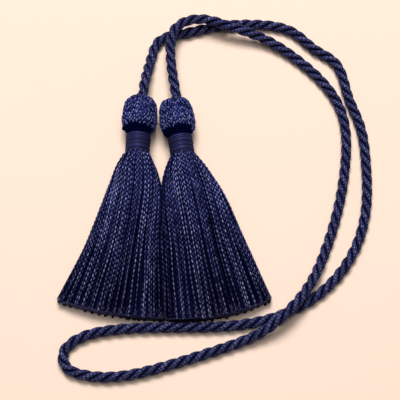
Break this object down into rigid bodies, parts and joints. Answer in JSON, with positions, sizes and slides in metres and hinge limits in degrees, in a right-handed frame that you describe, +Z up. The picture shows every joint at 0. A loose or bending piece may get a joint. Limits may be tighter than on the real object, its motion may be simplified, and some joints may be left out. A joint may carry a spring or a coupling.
{
  "type": "double tassel cord",
  "caption": "Silky tassels with folded-over heads, wound bindings and flared skirts, joined crown to crown by a plied twisted cord that lies in a loop.",
  "frame": {"origin": "on the surface that the tassels lie on, under the middle of the pair of tassels, cord left out", "axes": "+Z up from the surface, +Y towards the tassels' heads, +X towards the side where the cord makes its large loop"},
  "size_m": [0.1186, 0.1463, 0.0136],
  "materials": {
    "tassel_yarn": "silky knitted yarn",
    "binding_thread": "satin wound thread",
    "cord_silk": "satin plied cord"
  },
  "bodies": {
    "root": {"tassel_left": "tassel_yarn", "tassel_right": "tassel_yarn", "binding_left": "binding_thread", "binding_right": "binding_thread", "cord": "cord_silk"}
  },
  "joints": []
}
